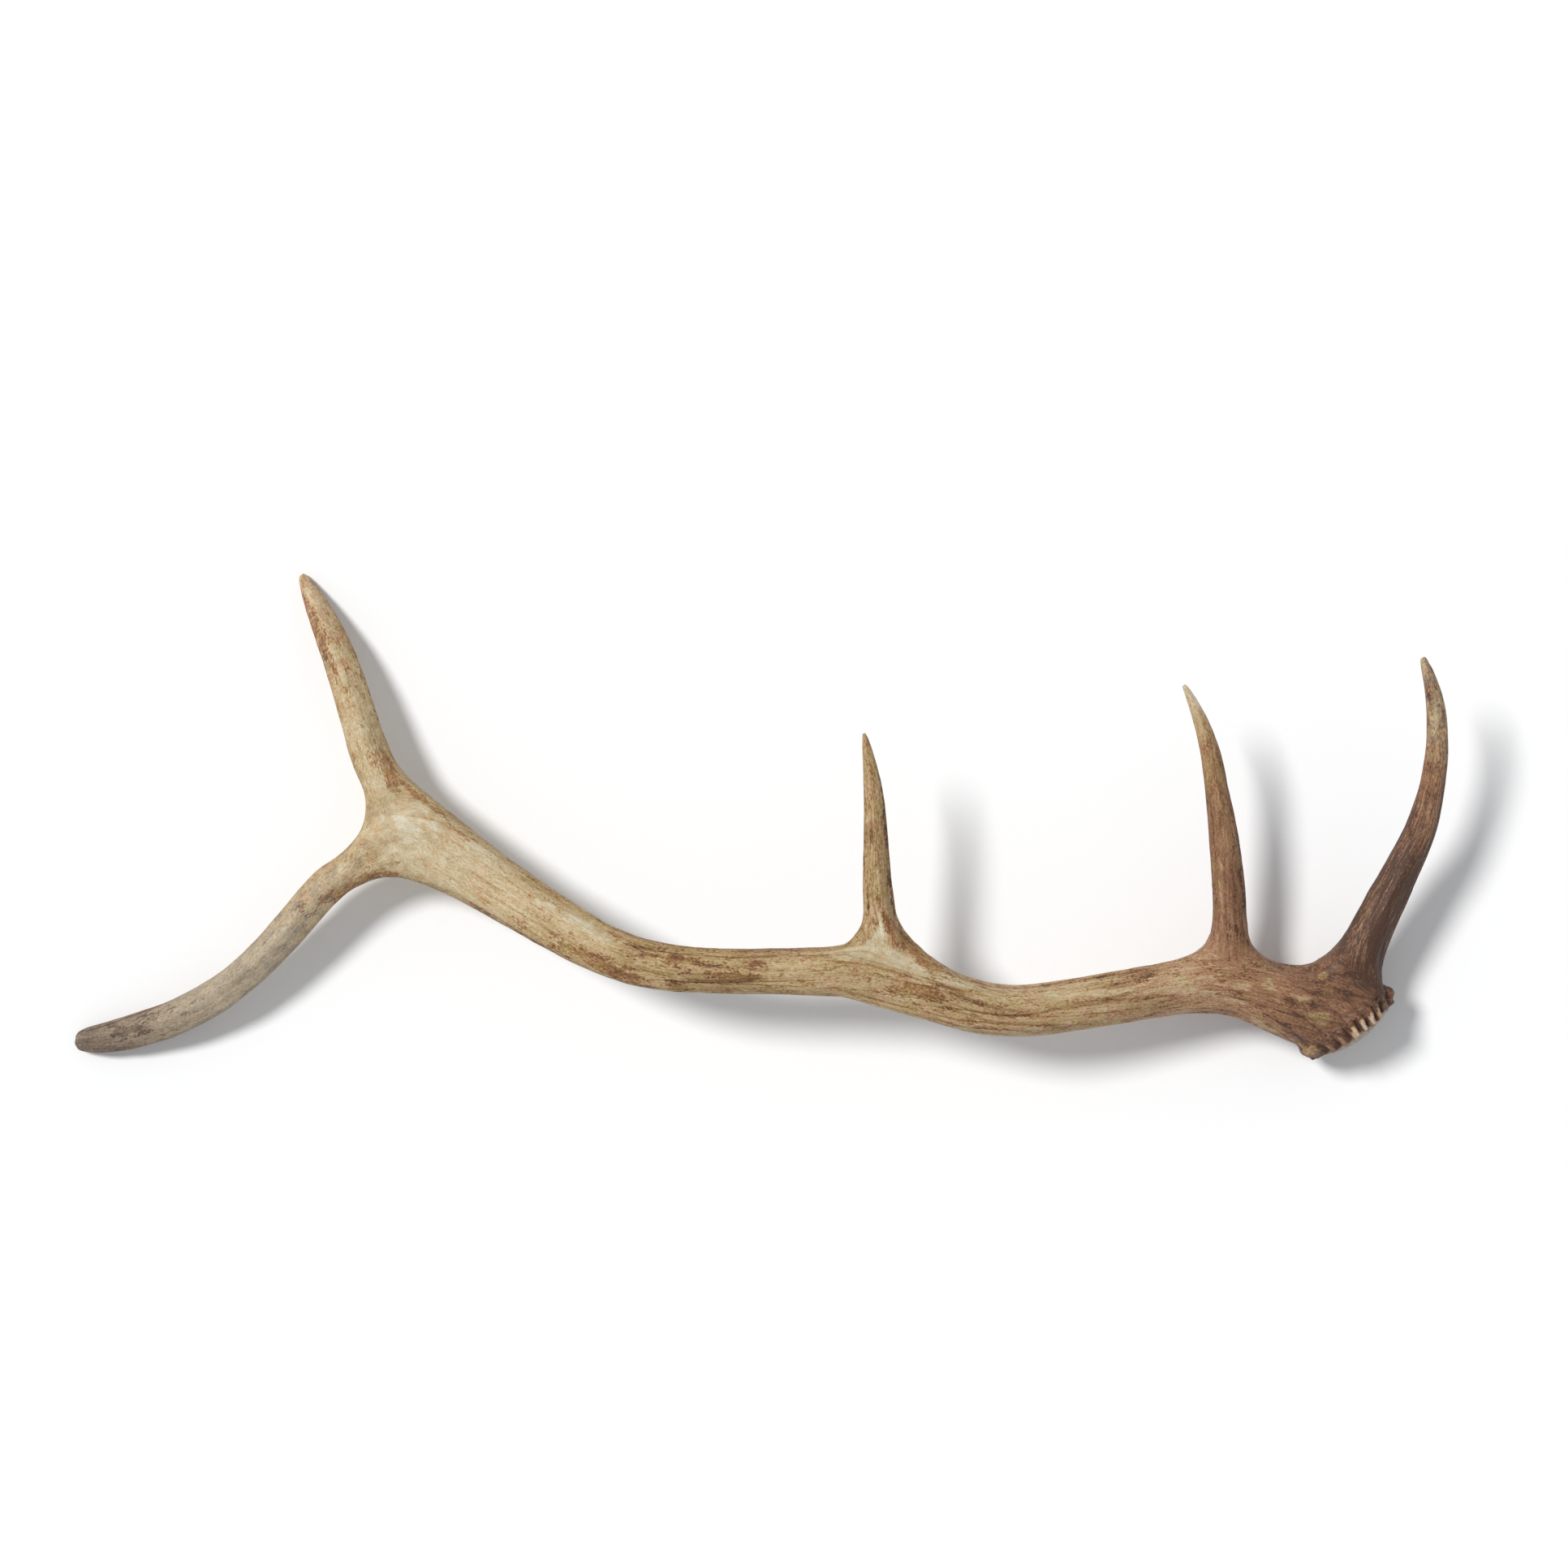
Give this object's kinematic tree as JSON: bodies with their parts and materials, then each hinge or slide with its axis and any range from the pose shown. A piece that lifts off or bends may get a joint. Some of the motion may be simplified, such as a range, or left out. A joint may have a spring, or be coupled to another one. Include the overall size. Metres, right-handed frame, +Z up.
{
  "type": "shed antler",
  "caption": "Shed antler lying arched on a table: a curved main beam with a knobbly burr at its foot, pointed tines along one edge and a forked end, for display or craft.",
  "frame": {"origin": "on the table, under the middle of the antler's bounding box", "axes": "+X along the antler from its forked end to its burr, +Y the way the side tines point, +Z up from the table"},
  "size_m": [0.93, 0.334, 0.1131],
  "materials": {
    "antler_tan": "dry antler bone, tan, streaked brown along low ridges",
    "antler_brown": "dry antler bone, dark brown, grooved, with pale polished tips",
    "antler_cream": "dry antler bone, pale cream, worn smooth"
  },
  "bodies": {
    "root": {"main_beam": "antler_tan", "brow_tine": "antler_brown", "bez_tine": "antler_brown", "trez_tine": "antler_tan", "royal_tine": "antler_cream", "beam_tip": "antler_cream"}
  },
  "joints": []
}
